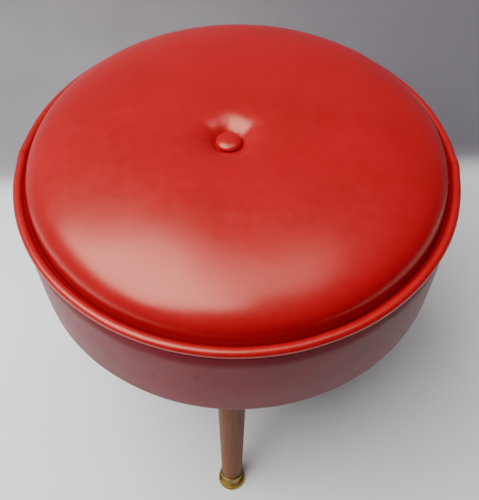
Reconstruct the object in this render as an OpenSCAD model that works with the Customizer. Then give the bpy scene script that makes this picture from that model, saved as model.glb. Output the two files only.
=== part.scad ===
// Round button-tufted footstool on three splayed turned legs.
// Millimetres, +Z up. The origin is on the stool's axis at floor level, and the front leg points to -Y.

/* [Seat] */
// Overall diameter across the piping
seat_d = 380; // [330:1:460]
// Height of the cushion's crown above its sewing line
crown_h = 44; // [34:1:70]
// Height of the side hoop, from the underside of the base board
hoop_h = 89; // [60:0.5:120]

/* [Cover] */
// Thickness of the vinyl leathercloth
vinyl_t = 1; // [0.7:0.1:1.3]
// Outer diameter of the piping bead
welt_d = 8; // [7:0.5:13]
// Width of the gully between the cushion and the piping
gully_w = 3.3; // [1:0.1:5]
// Depth of the sewn edges that hang inside the hoop
allowance_h = 10; // [6:1:14]
// How much further out the side band stands at its foot than at its top
band_flare = 2; // [0.4:0.2:14]
// Radius of the side band's rounded upper edge
band_shoulder_r = 3.5; // [2:0.5:3.5]
// Thickness of the side padding at its top
padding_t = 1.6; // [1.2:0.1:5]
// Radius of the side band's rounded lower edge
band_edge_r = 6; // [3:0.5:8]
// How far the hem reaches in under the base board
hem_lap = 13.2; // [12:0.2:24]

/* [Tuft] */
// Diameter of the covered button
button_d = 21.6; // [15:0.2:28]
// Height of the covered button
button_h = 6; // [4:0.5:9]
// Depth that the tuft is pulled down below the crown
tuft_depth = 11; // [7:0.5:24]
// Spread of the dimple round the button
tuft_spread = 9; // [6:0.5:24]
// Sideways distance of the tuft from the axis
tuft_x = -6; // [-24:1:24]
// Front-to-back distance of the tuft from the axis
tuft_y = -10; // [-24:1:24]
// Diameter of the tufting twine
twine_d = 2.4; // [1.5:0.1:3]

/* [Frame] */
// Thickness of the base board
board_t = 15; // [12:1:22]
// Thickness of the side hoop
hoop_t = 2.5; // [2:0.5:6]
// Thickness of the dust cover's cloth
cloth_t = 0.5; // [0.3:0.1:0.8]

/* [Legs] */
// Length of a wooden leg along its axis
leg_len = 246; // [180:1:330]
// Splay of the legs from upright
splay = 12; // [6:0.5:15]
// Diameter of a leg at its top
leg_top_d = 32.8; // [25:0.2:35]
// Diameter of a leg just above its brass foot
leg_foot_d = 22.2; // [18:0.2:24]
// Side of a square leg plate
plate_w = 50; // [46:1:60]
// How far the leg plates stand in from the edge of the hem
plate_inset = 33; // [4:0.5:40]
// Thickness of a leg plate
plate_t = 2; // [1.5:0.1:3]
// Diameter of a hanger bolt
bolt_d = 8; // [6:0.5:9]

/* [Feet] */
// Diameter of the brass foot's base
foot_d = 30; // [29:0.5:38]
// Height of the brass collar along the leg
collar_h = 15; // [13:0.5:22]
// Thickness of brass under the end of the leg
sole_t = 4.5; // [4:0.5:7]

/* [Hidden] */
$fn = 96;

// Clearances
sew_gap = 0.1;   // between layers of the cover
fit_gap = 0.2;   // between rigid pieces that slide together
pad_gap = 0.3;   // between the foam and the vinyl over it
cut = 1;         // overrun of every cut
seam_gap = 0.3;  // between the two ends that meet at a side seam

// Turns of the three legs about the axis, from the front one
front_turn = 0;
right_turn = 120;
left_turn = 240;
leg_turns = [front_turn, right_turn, left_turn];

// Leg plate: angled boss, screws and the pilot holes that take them
boss_r = 14;
plate_corner_r = 5;
screw_inset = 7;
screw_d = 3.6;
screw_skin = 2;
pilot_share = 0.5;
screw_head_d = 8;
screw_head_h = 2.6;
slot_w = 1.2;
boss_step = 0.7;
plate_seat = cloth_t + 2 * sew_gap;
plate_drop = (plate_seat + plate_t + boss_step) / cos(splay) + boss_r * tan(splay);
bolt_below = 30;
bolt_above = 10;
bolt_waist_share = 0.9;
bolt_point_h = 6;

// Heights above the floor
board_z = (plate_drop + leg_len + sole_t) * cos(splay);
board_top = board_z + board_t;
hoop_top = board_z + hoop_h;
dome_z = hoop_top + vinyl_t + 2 * sew_gap;
welt_z = dome_z + welt_d / 2;
sewn_edge_z = dome_z - allowance_h;
filling_slack = 2.6;
filling_top = sewn_edge_z - filling_slack;

// Radii from the axis, from the piping inwards and out again
welt_mid = (seat_d - welt_d) / 2;
dome_r = welt_mid - welt_d / 2 - gully_w;
flange_in = dome_r + sew_gap;
flange_out = flange_in + 2 * vinyl_t;
tuck_mid = flange_out + sew_gap + vinyl_t / 2;
hoop_in = tuck_mid + vinyl_t / 2 + fit_gap;
hoop_out = hoop_in + hoop_t;
board_r = hoop_in - sew_gap;
band_top_r = hoop_out + padding_t + 2 * sew_gap + vinyl_t / 2;
band_foot_r = band_top_r + band_flare;
hem_in = board_r - hem_lap;
cloth_step = 2;
hoop_ease_share = 0.46;
hoop_ease = hoop_t * hoop_ease_share;  // bevel of the hoop's two upper edges
leg_r = hem_in - plate_inset - plate_w / 2;
foot_r = leg_r + board_z * tan(splay);

// Crown of the cushion: a superellipse, drawn down round the button
crown_power = 2.6;
crown_drop_power = 3.3;
tuft_power = 1;
dimple_shares = [0.3, 0.65, 1.05, 1.5, 2.1];
dimple_end_share = 2.6;
crown_steps = 9;
crown_spacing_share = 0.85;
shift_end_share = 0.85;
cushion_sides = 36;

// Button, eye and twine
seat_margin = 0.6;
button_r = button_d / 2;
seat_r = button_r + seat_margin;
button_edge_share = 0.25;
button_power = 2.4;
back_share = 0.65;
back_t = 1.2;
eye_wire_r = 0.8;
eye_r = 3.2;
eye_room = 1;
tuft_hole_r = eye_r + eye_wire_r + eye_room;
twine_loop_r = twine_d + fit_gap;
twine_room = 2.8;
board_twine_r = twine_d / 2 + twine_room;
washer_r = 11;
washer_t = 1.5;
knot_r = 2.6;
recess_h = sew_gap + 2 * knot_r + fit_gap + washer_t;

// Tacks
hem_tack_count = 18;
cloth_tack_count = 15;
hoop_tack_count = 12;
tack_d = 1.8;
tack_len = 10.5;
tack_head_d = 4.4;
tack_head_t = 0.8;
cloth_lap = 5.2;
cloth_out = hem_in + cloth_lap;
cloth_tack_r = hem_in + cloth_lap / 2;
hem_tack_r = cloth_out + tack_head_d / 2 + fit_gap;

// Seam allowances of the side band, pressed back behind its ends
seam_tab_w = 10;
tab_share = 1.5;

// Wooden leg
leg_ease_share = 0.08;

// Brass foot
collar_wall = 1;
pin_height_share = 0.7;
tenon_step = 0.3;
tenon_r = leg_foot_d / 2 - tenon_step;
collar_in = tenon_r + sew_gap;
collar_out = collar_in + collar_wall;
lip_r = 0.6;
foot_edge_h = 3;
groove_w = 1.6;
groove_depth = 0.8;
pin_d = 1.4;
pin_len = 6;
pin_head_r = 1.3;

vinyl_red = [0.72, 0.09, 0.07];
welt_red = [0.76, 0.08, 0.07];
wood_brown = [0.52, 0.31, 0.2];
brass = [0.6, 0.47, 0.2];
plated_steel = [0.62, 0.6, 0.52];
blued_steel = [0.2, 0.21, 0.25];
foam_cream = [0.9, 0.84, 0.62];
board_tan = [0.72, 0.56, 0.36];
hardboard = [0.42, 0.28, 0.17];
flock_grey = [0.5, 0.47, 0.44];
cloth_black = [0.1, 0.1, 0.11];
twine_buff = [0.82, 0.76, 0.6];

// Flat geometry helpers
function unit(v) = v / norm(v);
function reversed(list) = [for (i = [len(list) - 1:-1:0]) list[i]];
// A quarter of an ellipse, from its edge up to its crown
function quarter(wide, high, steps) = [
    for (i = [0:steps]) [wide * cos(90 * i / steps), high * sin(90 * i / steps)]
];
function heading(path, i) = unit(path[min(i + 1, len(path) - 1)] - path[max(i - 1, 0)]);
function beside(path, d) = [
    for (i = [0:len(path) - 1]) path[i] + d * [-heading(path, i)[1], heading(path, i)[0]]
];
// A band between two offsets of one path, the positive side being the good side of the vinyl
function ribbon(path, high, low) = concat(beside(path, high), reversed(beside(path, low)));
function part(list, from, to) = [for (i = [from:to]) list[i]];
function arc(mid, r, from, to, steps) = [
    for (i = [0:steps]) let (a = from + (to - from) * i / steps) mid + r * [cos(a), sin(a)]
];

// The side band's middle line, from the tucked edge over the hoop, down the side and under the board
bend_share = 1.5;
bend = bend_share * vinyl_t;
shoulder_r = band_shoulder_r;
fold_z = hoop_top + sew_gap + vinyl_t / 2;
hem_z = board_z - sew_gap - vinyl_t / 2;
edge_r = band_edge_r - vinyl_t / 2;
side_top_z = fold_z - shoulder_r;
side_foot_z = hem_z + edge_r;
side_steps = 10;
side_line = [
    for (i = [0:side_steps]) let (u = i / side_steps)
        [band_top_r + band_flare * (1 - pow(1 - u, 2)), side_top_z + (side_foot_z - side_top_z) * u]
];
foot_bend = arc([band_foot_r - edge_r, side_foot_z], edge_r, 0, -90, 6);
band_path = concat(
    [[tuck_mid, sewn_edge_z]],
    arc([tuck_mid + bend, fold_z - bend], bend, 180, 90, 4),
    arc([band_top_r - shoulder_r, side_top_z], shoulder_r, 90, 0, 6),
    part(side_line, 1, side_steps - 1),
    foot_bend,
    [[hem_in, hem_z]]
);

// The cushion's skin is a stack of level rings whose centres move from the axis to the tuft
function tuft_pull(r) = tuft_depth * exp(-pow(max(r - seat_r, 0) / tuft_spread, tuft_power));
function crown_radius(turn, wide) = wide * pow(sin(turn), 2 / crown_power);
function crown_height(r, wide, high) =
    high * pow(max(1 - pow(r / wide, crown_power), 0), 1 / crown_drop_power);
function crown_radii(wide) = concat(
    [tuft_hole_r, seat_r],
    [for (share = dimple_shares) seat_r + share * tuft_spread],
    [for (i = [1:crown_steps])
        let (r = crown_radius(90 * pow(i / crown_steps, crown_spacing_share), wide))
        if (r > seat_r + dimple_end_share * tuft_spread) r]
);
function shift_share(r, wide) =
    let (first = seat_r + dimple_end_share * tuft_spread, last = wide * shift_end_share)
    (1 + cos(180 * min(max((r - first) / (last - first), 0), 1))) / 2;
// One ring of the skin that lies a given depth below the outside
function skin_ring(r, depth) =
    let (wide = dome_r - depth, level = max(r, seat_r))
    [shift_share(r, wide), r, dome_z + crown_height(level, wide, crown_h - depth) - tuft_pull(level)];
function skin(depth) = [for (r = crown_radii(dome_r - depth)) skin_ring(r, depth)];
seat_z = skin_ring(seat_r, 0)[2];

// A closed body from a loop of rings, each given as its share of the tuft's offset, radius and height
module ring_body(rings) {
    n = len(rings);
    m = cushion_sides;
    points = [
        for (ring = rings, k = [0:m - 1])
            [tuft_x * ring[0] + ring[1] * cos(360 * k / m),
             tuft_y * ring[0] + ring[1] * sin(360 * k / m),
             ring[2]]
    ];
    faces = [
        for (i = [0:n - 1], k = [0:m - 1], half = [0, 1])
            let (a = i * m, b = (i + 1) % n * m, next = (k + 1) % m)
            half == 0 ? [a + k, a + next, b + next] : [a + k, b + next, b + k]
    ];
    polyhedron(points = points, faces = faces, convexity = 6);
}

// Cushion and cover

module top_cover() {
    inside = skin(vinyl_t);
    color(vinyl_red)
        ring_body(concat(
            skin(0),
            [[0, dome_r, sewn_edge_z], [0, dome_r - vinyl_t, sewn_edge_z]],
            reversed(inside)
        ));
}

module cushion_pad() {
    depth = vinyl_t + pad_gap;
    foot = filling_top + sew_gap;
    color(foam_cream)
        ring_body(concat(
            skin(depth),
            [[0, dome_r - depth, foot], [1, tuft_hole_r, foot]]
        ));
}

module at_tuft(z) translate([tuft_x, tuft_y, z]) children();

module tuft_button() {
    edge = button_h * button_edge_share;
    dome = [
        for (a = [0:7.5:90])
            [button_r * pow(cos(a), 2 / button_power),
             edge + (button_h - edge) * pow(sin(a), 2 / button_power)]
    ];
    color(welt_red)
        at_tuft(seat_z)
            difference() {
                rotate_extrude() polygon(concat([[0, 0], [button_r - edge, 0]], dome));
                translate([0, 0, -cut])
                    cylinder(r = button_r * back_share + sew_gap, h = back_t + sew_gap + cut);
            }
}

module button_loop() {
    color(plated_steel)
        at_tuft(seat_z) {
            cylinder(r = button_r * back_share, h = back_t);
            translate([0, 0, eye_wire_r / 2 - eye_r])
                rotate([90, 0, 0]) rotate_extrude() translate([eye_r, 0]) circle(r = eye_wire_r);
        }
}

module tuft_twine() {
    loop_z = seat_z + eye_wire_r / 2 - 2 * eye_r - twine_loop_r + twine_d / 2 + eye_wire_r + fit_gap / 2;
    foot_z = board_z + recess_h - washer_t - fit_gap;
    color(twine_buff)
        at_tuft(0) {
            translate([0, 0, loop_z])
                rotate([90, 0, 90]) rotate_extrude() translate([twine_loop_r, 0]) circle(d = twine_d);
            translate([0, 0, foot_z - knot_r])
                cylinder(d = twine_d, h = loop_z - twine_loop_r - foot_z + knot_r);
            translate([0, 0, foot_z - knot_r]) sphere(r = knot_r);
        }
}

module twine_washer() {
    color(plated_steel)
        at_tuft(board_z + recess_h - washer_t)
            difference() {
                cylinder(r = washer_r, h = washer_t);
                translate([0, 0, -cut]) cylinder(r = twine_d / 2 + sew_gap, h = washer_t + 2 * cut);
            }
}

// Half a turn of a profile, front or rear, with a small gap at each side seam
function turn_of(length, r) = length / r * 180 / PI;
module half_turn(start, r) {
    slack = turn_of(seam_gap, r);
    rotate([0, 0, start + slack / 2]) rotate_extrude(angle = 180 - slack) children();
}

// The bead and its sewn flange, which leaves it low on the inner side
module welt_half(start) {
    mid = [welt_mid, welt_z];
    r = welt_d / 2;
    color(welt_red)
        half_turn(start, welt_mid)
            difference() {
                polygon(concat(
                    [[flange_out, dome_z], [flange_out, sewn_edge_z], [flange_in, sewn_edge_z], [flange_in, dome_z]],
                    arc(mid, r, 190, -125, 36)
                ));
                translate(mid) circle(r = r - vinyl_t);
            }
}

module welt_front() welt_half(180);
module welt_rear() welt_half(0);

module welt_cord() {
    color(twine_buff)
        rotate_extrude() translate([welt_mid, welt_z]) circle(r = welt_d / 2 - vinyl_t - pad_gap);
}

module hem_tack_holes() {
    for (i = [0:hem_tack_count - 1])
        rotate([0, 0, 360 * (i + 0.5) / hem_tack_count])
            translate([hem_tack_r, 0, board_z - vinyl_t - cut])
                cylinder(d = tack_d + sew_gap, h = vinyl_t + tack_len + cut);
}

module cloth_tack_holes() {
    for (i = [0:cloth_tack_count - 1])
        rotate([0, 0, 360 * (i + 0.5) / cloth_tack_count])
            translate([cloth_tack_r, 0, board_z - vinyl_t - cloth_t - cut])
                cylinder(d = tack_d + sew_gap, h = vinyl_t + cloth_t + tack_len + cut);
}

module band_half(start) {
    slack = turn_of(seam_gap, band_top_r);
    tab = turn_of(seam_tab_w, band_top_r);
    tab_line = part(side_line, 1, side_steps - 1);
    color(vinyl_red)
        difference() {
            union() {
                half_turn(start, band_top_r) polygon(ribbon(band_path, vinyl_t / 2, -vinyl_t / 2));
                for (turn = [start + slack / 2, start + 180 - slack / 2 - tab])
                    rotate([0, 0, turn])
                        rotate_extrude(angle = tab) polygon(ribbon(tab_line, 0, -tab_share * vinyl_t));
            }
            hem_tack_holes();
            cloth_tack_holes();
        }
}

module side_band_front() band_half(180);
module side_band_rear() band_half(0);

// A sleeve of foam, relieved behind each side seam
module side_padding() {
    inner = hoop_out + sew_gap;
    under = vinyl_t / 2 + sew_gap;
    relief = turn_of(seam_tab_w + seam_gap, band_top_r);
    color(foam_cream)
        difference() {
            rotate_extrude()
                polygon(concat(
                    [[inner, board_z], [inner, side_top_z]],
                    beside(concat(part(side_line, 0, side_steps - 1), foot_bend), -under)
                ));
            for (start = [0, 180])
                rotate([0, 0, start - relief])
                    rotate_extrude(angle = 2 * relief) polygon(ribbon(side_line, 0, -under - vinyl_t));
        }
}

// Frame

module hoop_tack_places() {
    for (i = [0:hoop_tack_count - 1])
        rotate([0, 0, 360 * (i + 0.5) / hoop_tack_count])
            translate([hoop_out, 0, board_z + board_t / 2])
                rotate([0, -90, 0]) children();
}

module hoop_tack_cuts() {
    hoop_tack_places() {
        translate([0, 0, -cut]) cylinder(d = tack_d + sew_gap, h = tack_len + sew_gap + cut);
        translate([0, 0, -cut]) cylinder(d = tack_head_d + sew_gap, h = tack_head_t + cut);
    }
}

module hoop_tacks() {
    color(blued_steel)
        hoop_tack_places() {
            cylinder(d = tack_d, h = tack_len);
            cylinder(d = tack_head_d, h = tack_head_t);
        }
}

module side_hoop() {
    color(hardboard)
        difference() {
            rotate_extrude()
                polygon([
                    [hoop_in, board_z], [hoop_out, board_z], [hoop_out, hoop_top - hoop_ease],
                    [hoop_out - hoop_ease, hoop_top], [hoop_in + hoop_ease, hoop_top],
                    [hoop_in, hoop_top - hoop_ease]
                ]);
            hoop_tack_cuts();
        }
}

module drum_filling() {
    color(flock_grey)
        difference() {
            translate([0, 0, board_top]) cylinder(r = board_r, h = filling_top - board_top);
            at_tuft(board_top - cut) cylinder(r = board_twine_r, h = filling_top - board_top + 2 * cut);
        }
}

module base_board() {
    color(board_tan)
        difference() {
            translate([0, 0, board_z]) cylinder(r = board_r, h = board_t);
            at_tuft(board_z - cut) {
                cylinder(r = board_twine_r, h = board_t + 2 * cut);
                cylinder(r = washer_r + fit_gap, h = recess_h + cut);
            }
            hem_tack_holes();
            cloth_tack_holes();
            hoop_tack_cuts();
            for (turn = leg_turns) {
                on_plate(turn)
                    translate([0, 0, -cut])
                        screw_places()
                            cylinder(d = screw_d + sew_gap, h = board_t - screw_skin * pilot_share + cut);
                at_leg(turn)
                    translate([0, 0, -bolt_d])
                        cylinder(d = bolt_d + 2 * fit_gap, h = bolt_d + bolt_above + cut);
            }
        }
}

// A tack driven up from below: its head lies under the given height
module tacks(count, r, under) {
    color(blued_steel)
        for (i = [0:count - 1])
            rotate([0, 0, 360 * (i + 0.5) / count])
                translate([r, 0, under - tack_head_t]) {
                    cylinder(d = tack_head_d, h = tack_head_t);
                    cylinder(d = tack_d, h = tack_len);
                }
}

module hem_tacks() tacks(hem_tack_count, hem_tack_r, board_z - sew_gap - vinyl_t);

module cloth_tacks() tacks(cloth_tack_count, cloth_tack_r, board_z - 2 * sew_gap - vinyl_t - cloth_t);

// Black cloth, flat under the board and stepped down over the hem
module dust_cover() {
    low = board_z - 2 * sew_gap - vinyl_t;
    color(cloth_black)
        difference() {
            rotate_extrude()
                polygon([
                    [0, board_z - sew_gap], [0, board_z - sew_gap - cloth_t],
                    [hem_in - cloth_step, board_z - sew_gap - cloth_t],
                    [hem_in - sew_gap, low - cloth_t], [cloth_out, low - cloth_t],
                    [cloth_out, low], [hem_in - sew_gap, low],
                    [hem_in - cloth_step, board_z - sew_gap]
                ]);
            cloth_tack_holes();
            for (turn = leg_turns) {
                on_plate(turn)
                    translate([0, 0, -cloth_t - cut])
                        screw_places() cylinder(d = screw_d + fit_gap, h = cloth_t + 2 * cut);
                at_leg(turn)
                    translate([0, 0, -bolt_d]) cylinder(d = bolt_d + 2 * fit_gap, h = 2 * bolt_d);
            }
        }
}

// Legs. A leg's own frame has its origin where its axis meets the board, and +Z up along the leg.
module at_leg(turn) {
    rotate([0, 0, turn]) translate([0, -leg_r, board_z]) rotate([-splay, 0, 0]) children();
}

module on_plate(turn) {
    rotate([0, 0, turn]) translate([0, -leg_r, board_z]) children();
}

module screw_places() {
    reach = plate_w / 2 - screw_inset;
    for (x = [-reach, reach], y = [-reach, reach]) translate([x, y, 0]) children();
}

module rounded_square(side, r, h) {
    linear_extrude(h) {
        square([side, side - 2 * r], center = true);
        square([side - 2 * r, side], center = true);
        for (x = [-1, 1], y = [-1, 1]) translate([x, y] * (side / 2 - r)) circle(r = r);
    }
}

module leg_plate(turn) {
    low = -plate_seat - plate_t;
    reach = 2 * plate_drop;
    color(plated_steel)
        difference() {
            union() {
                on_plate(turn) translate([0, 0, low]) rounded_square(plate_w, plate_corner_r, plate_t);
                intersection() {
                    at_leg(turn) translate([0, 0, -plate_drop]) cylinder(r = boss_r, h = reach);
                    on_plate(turn)
                        translate([-plate_w / 2, -plate_w / 2, -plate_seat - reach])
                            cube([plate_w, plate_w, reach]);
                }
            }
            at_leg(turn) translate([0, 0, -plate_drop - cut]) cylinder(d = bolt_d + sew_gap, h = reach + cut);
            on_plate(turn)
                translate([0, 0, low - cut])
                    screw_places() cylinder(d = screw_d + fit_gap, h = plate_t + 2 * cut);
        }
}

module plate_front() leg_plate(front_turn);
module plate_right() leg_plate(right_turn);
module plate_left() leg_plate(left_turn);

module plate_screws() {
    head_z = -plate_seat - plate_t;
    color(plated_steel)
        for (turn = leg_turns)
            on_plate(turn)
                screw_places()
                    translate([0, 0, head_z])
                        difference() {
                            union() {
                                cylinder(d = screw_d, h = board_t - screw_skin - head_z);
                                rotate([180, 0, 0])
                                    rotate_extrude()
                                        polygon(concat([[0, 0]], quarter(screw_head_d / 2, screw_head_h, 6)));
                            }
                            translate([-screw_head_d / 2, -slot_w / 2, -screw_head_h - cut])
                                cube([screw_head_d, slot_w, screw_head_h / 2 + cut]);
                        }
}

// Machine thread above, plain waist, wood thread with a point below
module leg_bolt(turn) {
    waist = bolt_d / 2 * bolt_waist_share;
    color(plated_steel)
        at_leg(turn)
            rotate_extrude()
                polygon([
                    [0, bolt_above], [waist, bolt_above], [bolt_d / 2, bolt_above - bolt_d / 2 + waist],
                    [bolt_d / 2, -plate_drop], [waist, -plate_drop - bolt_d / 2],
                    [waist, -plate_drop - bolt_d], [bolt_d / 2, -plate_drop - bolt_d - bolt_d / 2],
                    [bolt_d / 2, -plate_drop - bolt_below + bolt_point_h], [0, -plate_drop - bolt_below]
                ]);
}

module leg_bolt_front() leg_bolt(front_turn);
module leg_bolt_right() leg_bolt(right_turn);
module leg_bolt_left() leg_bolt(left_turn);

module leg(turn) {
    top_z = -plate_drop - sew_gap;
    end_z = -plate_drop - leg_len;
    collar_z = end_z - sole_t + collar_h;
    ease = leg_top_d * leg_ease_share;
    shoulder_z = collar_z + fit_gap;
    color(wood_brown)
        difference() {
            at_leg(turn)
                difference() {
                    rotate_extrude()
                        polygon(concat(
                            [[0, top_z]],
                            arc([leg_top_d / 2 - ease, top_z - ease], ease, 90, 0, 4),
                            [[leg_foot_d / 2, shoulder_z], [tenon_r, shoulder_z - tenon_step],
                             [tenon_r, end_z + sew_gap], [0, end_z + sew_gap]]
                        ));
                    translate([0, 0, -plate_drop - bolt_below - fit_gap])
                        cylinder(d = bolt_d + sew_gap, h = bolt_below + cut);
                }
            at_pin(turn) cylinder(d = pin_d + sew_gap, h = pin_len + cut);
        }
}

module leg_front() leg(front_turn);
module leg_right() leg(right_turn);
module leg_left() leg(left_turn);

// Feet. Each collar leans with its leg, and its base lies flat on the floor.
module at_pin(turn) {
    pin_z = -plate_drop - leg_len - sole_t + collar_h * pin_height_share;
    at_leg(turn) translate([0, collar_out, pin_z]) rotate([90, 0, 0]) children();
}

module foot(turn) {
    end_z = -plate_drop - leg_len - sole_t;
    r = foot_d / 2;
    round_r = foot_edge_h / 2;
    shoulder = collar_out + groove_w;
    top = foot_edge_h + groove_depth;
    color(brass)
        difference() {
            union() {
                rotate([0, 0, turn])
                    translate([0, -foot_r, 0])
                        rotate_extrude()
                            polygon(concat(
                                [[0, 0]],
                                arc([r - round_r, round_r], round_r, -90, 60, 8),
                                [[shoulder, top], [collar_out + groove_w / 2, foot_edge_h],
                                 [collar_out, top], [0, top]]
                            ));
                intersection() {
                    at_leg(turn)
                        translate([0, 0, end_z])
                            rotate_extrude()
                                polygon(concat(
                                    [[0, 0], [collar_out, 0], [collar_out, collar_h - 2 * lip_r]],
                                    arc([collar_out, collar_h - lip_r], lip_r, -60, 90, 6),
                                    [[0, collar_h]]
                                ));
                    rotate([0, 0, turn])
                        translate([-foot_d, -foot_r - foot_d, foot_edge_h / 2])
                            cube([2 * foot_d, 2 * foot_d, 2 * collar_h]);
                }
            }
            at_leg(turn) translate([0, 0, end_z + sole_t]) cylinder(r = collar_in, h = 2 * collar_h);
            at_pin(turn)
                translate([0, 0, -pin_head_r])
                    cylinder(d = pin_d + sew_gap, h = collar_wall + 2 * pin_head_r);
        }
}

module foot_front() foot(front_turn);
module foot_right() foot(right_turn);
module foot_left() foot(left_turn);

module foot_pins() {
    color(brass)
        for (turn = leg_turns)
            at_pin(turn) {
                cylinder(d = pin_d, h = pin_len);
                rotate([180, 0, 0])
                    rotate_extrude()
                        polygon(concat([[0, 0]], quarter(pin_head_r, pin_head_r / 2, 4)));
            }
}

top_cover();
cushion_pad();
tuft_button();
button_loop();
tuft_twine();
twine_washer();
welt_front();
welt_rear();
welt_cord();
side_band_front();
side_band_rear();
side_padding();
side_hoop();
hoop_tacks();
drum_filling();
base_board();
hem_tacks();
dust_cover();
cloth_tacks();
plate_front();
plate_right();
plate_left();
plate_screws();
leg_bolt_front();
leg_bolt_right();
leg_bolt_left();
leg_front();
leg_right();
leg_left();
foot_front();
foot_right();
foot_left();
foot_pins();
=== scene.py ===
import math

import bmesh
import bpy
import numpy as np
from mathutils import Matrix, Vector, noise


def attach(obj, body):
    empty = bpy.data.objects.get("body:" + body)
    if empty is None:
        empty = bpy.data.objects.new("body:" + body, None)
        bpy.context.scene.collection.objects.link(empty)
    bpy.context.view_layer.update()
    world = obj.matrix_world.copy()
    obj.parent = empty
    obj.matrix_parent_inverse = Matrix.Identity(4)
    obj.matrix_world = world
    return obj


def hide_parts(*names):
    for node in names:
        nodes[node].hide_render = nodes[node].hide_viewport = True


# Round button-tufted footstool. Lengths are in millimetres until a mesh is made.
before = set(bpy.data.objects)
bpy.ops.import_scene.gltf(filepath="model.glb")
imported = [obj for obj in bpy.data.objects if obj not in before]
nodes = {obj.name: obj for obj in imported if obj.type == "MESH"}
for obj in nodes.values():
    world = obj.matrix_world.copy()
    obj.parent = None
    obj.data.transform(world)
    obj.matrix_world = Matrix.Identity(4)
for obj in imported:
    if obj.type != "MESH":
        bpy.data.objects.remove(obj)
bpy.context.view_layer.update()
mm = 0.001
print("frame loaded:", len(nodes), "nodes")


# Camera, floor and light

view = {
    "place": (0.02008, -0.39282, 0.74373),
    "turn": (36.643, 0.1032, 2.5),  # degrees
    "lens": 46.08,
}


def makeCamera():
    camera = bpy.data.objects.new("viewCamera", bpy.data.cameras.new("viewCamera"))
    camera.location = view["place"]
    camera.rotation_euler = [math.radians(a) for a in view["turn"]]
    camera.data.lens = view["lens"]
    camera.data.sensor_width = 36
    camera.data.clip_start = 0.02
    bpy.context.scene.collection.objects.link(camera)
    bpy.context.scene.camera = camera


room = {
    "foldAt": 0.2645,      # where the backdrop starts to rise behind the stool
    "foldRadius": 0.045,
    "foldSteps": 16,
    "slant": 6.0,          # the fold isn't quite square to the view
    "width": 6.0,
    "height": 0.8,
    "front": -0.8,
    "floor": ((0.76, 0.76, 0.765, 1), (0.80, 0.80, 0.805, 1)),
    # painted light: the floor is painted lighter on the left, where the key lamp's light falls
    "floorLitLeft": (0.93, 0.93, 0.935, 1),
    "wall": ((0.40, 0.38, 0.42, 1), (0.47, 0.45, 0.49, 1)),
    # painted shade: the backdrop is painted darker on the right, away from the key lamp
    "wallShadedRight": (0.27, 0.25, 0.29, 1),
    # painted shade: the backdrop is painted darker towards its top, where less light reaches
    "wallShadedTop": (0.16, 0.155, 0.165, 1),
    "shadeSide": 50,       # the room is darkest on this side, in degrees right of the front
    "lightFill": (0.10, 0.10, 0.115, 1),
    "darkFill": (0.02, 0.02, 0.024, 1),
    "lampAim": (0, 0, 0.36),
    "lampColour": (1.0, 0.985, 0.96),
    "lamps": {
        "keyLamp": {"from": (-70, 61), "far": 2.6, "size": (2.4, 2.2), "power": 146.0},
        "topLamp": {"from": (100, 81), "far": 2.6, "size": (1.2, 1.2), "power": 15.0},
    },
}


# A soft box that looks at the seat, placed by its angle left of the front and its angle up
def hangLamp(name, lamp):
    turn, rise = (math.radians(a) for a in lamp["from"])
    away = Vector((math.sin(turn) * math.cos(rise), -math.cos(turn) * math.cos(rise), math.sin(rise)))
    data = bpy.data.lights.new(name, "AREA")
    data.shape = "RECTANGLE"
    data.size, data.size_y = lamp["size"]
    data.energy = lamp["power"]
    data.color = room["lampColour"]
    made = bpy.data.objects.new(name, data)
    made.location = Vector(room["lampAim"]) + away * lamp["far"]
    made.rotation_euler = (-away).to_track_quat("-Z", "Y").to_euler()
    made.visible_camera = False
    bpy.context.scene.collection.objects.link(made)


def lightRoom():
    for name, lamp in room["lamps"].items():
        hangLamp(name, lamp)
    world = bpy.data.worlds.new("studio")
    world.use_nodes = True
    tree = world.node_tree
    sky = tree.nodes["Background"]
    sky.inputs["Strength"].default_value = 1.0
    vector = put(tree, "ShaderNodeTexCoord").outputs["Generated"]
    side = math.radians(room["shadeSide"])
    facing = put(tree, "ShaderNodeVectorMath", {"operation": "DOT_PRODUCT"},
                 [vector, (math.sin(side) * 0.8, -math.cos(side) * 0.8, -0.6)]).outputs["Value"]
    share = spread(tree, facing, -0.4, 0.6)
    tree.links.new(blendColour(tree, share, room["lightFill"], room["darkFill"]), sky.inputs["Color"])
    bpy.context.scene.world = world


# Node helpers

def put(tree, kind, settings=None, inputs=None):
    node = tree.nodes.new(kind)
    for key, value in (settings or {}).items():
        setattr(node, key, value)
    pairs = inputs.items() if isinstance(inputs, dict) else enumerate(inputs or [])
    for key, value in pairs:
        if isinstance(value, bpy.types.NodeSocket):
            tree.links.new(value, node.inputs[key])
        elif value is not None:
            node.inputs[key].default_value = value
    return node


def maths(tree, how, *values):
    return put(tree, "ShaderNodeMath", {"operation": how}, list(values)).outputs[0]


def times(tree, first, second):
    return maths(tree, "MULTIPLY", first, second)


def plus(tree, first, second):
    return maths(tree, "ADD", first, second)


def stretched(tree, vector, scale):
    return put(tree, "ShaderNodeVectorMath", {"operation": "MULTIPLY"}, [vector, scale]).outputs[0]


def spread(tree, value, low, high, toLow=0.0, toHigh=1.0):
    ranged = put(tree, "ShaderNodeMapRange", {"interpolation_type": "SMOOTHSTEP"},
                 {"Value": value, "From Min": low, "From Max": high, "To Min": toLow, "To Max": toHigh})
    return ranged.outputs[0]


def blendColour(tree, share, first, second):
    return put(tree, "ShaderNodeMix", {"data_type": "RGBA"}, {0: share, 6: first, 7: second}).outputs[2]


def cloud(tree, vector, scale, detail=3.0, rough=0.55):
    made = put(tree, "ShaderNodeTexNoise", None,
               {"Vector": vector, "Scale": scale, "Detail": detail, "Roughness": rough})
    return made.outputs["Fac"]


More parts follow.
